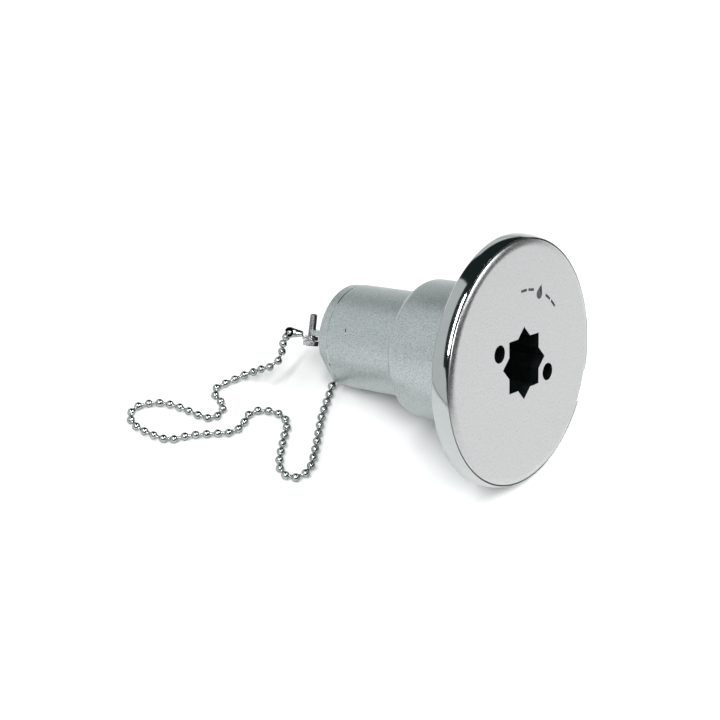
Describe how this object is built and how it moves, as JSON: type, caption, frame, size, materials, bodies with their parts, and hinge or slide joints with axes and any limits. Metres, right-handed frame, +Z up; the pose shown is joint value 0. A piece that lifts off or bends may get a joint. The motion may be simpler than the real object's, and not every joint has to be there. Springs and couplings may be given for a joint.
{
  "type": "deck fill cap",
  "caption": "Round flanged deck filler for a 38 mm hose, with a flush screw cap, a star-shaped key socket, a stepped neck and a ball chain that ties the cap to a lug on the spigot.",
  "frame": {"origin": "bottom centre of the box round the metal parts, without the chain, on the surface that the filler lies on", "axes": "+Z up from the table; the filler lies on its flange and on the tip of its spigot, its axis is in the YZ plane, the cap faces -Y and up, the spigot points +Y and down"},
  "size_m": [0.1155, 0.1376, 0.0827],
  "materials": {
    "body_steel": "satin neck and spigot, mirror-polished flange",
    "cap_steel": "fine satin",
    "hardware_steel": "bright",
    "chain_steel": "polished",
    "seal_rubber": "matt"
  },
  "bodies": {
    "filler": {"filler_body": "body_steel", "anchor_screw": "hardware_steel", "chain_drop": "chain_steel", "chain_run": "chain_steel"},
    "swivel": {"swivel_tab": "hardware_steel", "swivel_washer": "hardware_steel", "cap_coupling": "hardware_steel", "cap_end_ball": "chain_steel"},
    "cap": {"cap": "cap_steel", "cap_o_ring": "seal_rubber", "swivel_screw": "hardware_steel"},
    "anchor_link": {"anchor_tab": "hardware_steel", "anchor_coupling": "hardware_steel", "anchor_end_ball": "chain_steel"}
  },
  "joints": [
    {"name": "cap_lift", "type": "slide", "parent": "filler", "child": "swivel", "axis": [0, -0.9403, 0.3405], "range_m": [0, 0.0116]},
    {"name": "cap_turn", "type": "hinge", "parent": "swivel", "child": "cap", "pos_m": [0, -0.03747, 0.04313], "axis": [0, -0.9403, 0.3405], "range_deg": [0, 1800]},
    {"name": "anchor_swing", "type": "hinge", "parent": "filler", "child": "anchor_link", "pos_m": [-0.01277, 0.04209, 0.02404], "axis": [0.5821, 0.2768, 0.7645], "range_deg": [-40, 55]}
  ],
  "couplings": [
    {"joint": "cap_lift", "follows": "cap_turn", "m_per_rad": 0.00036749}
  ]
}
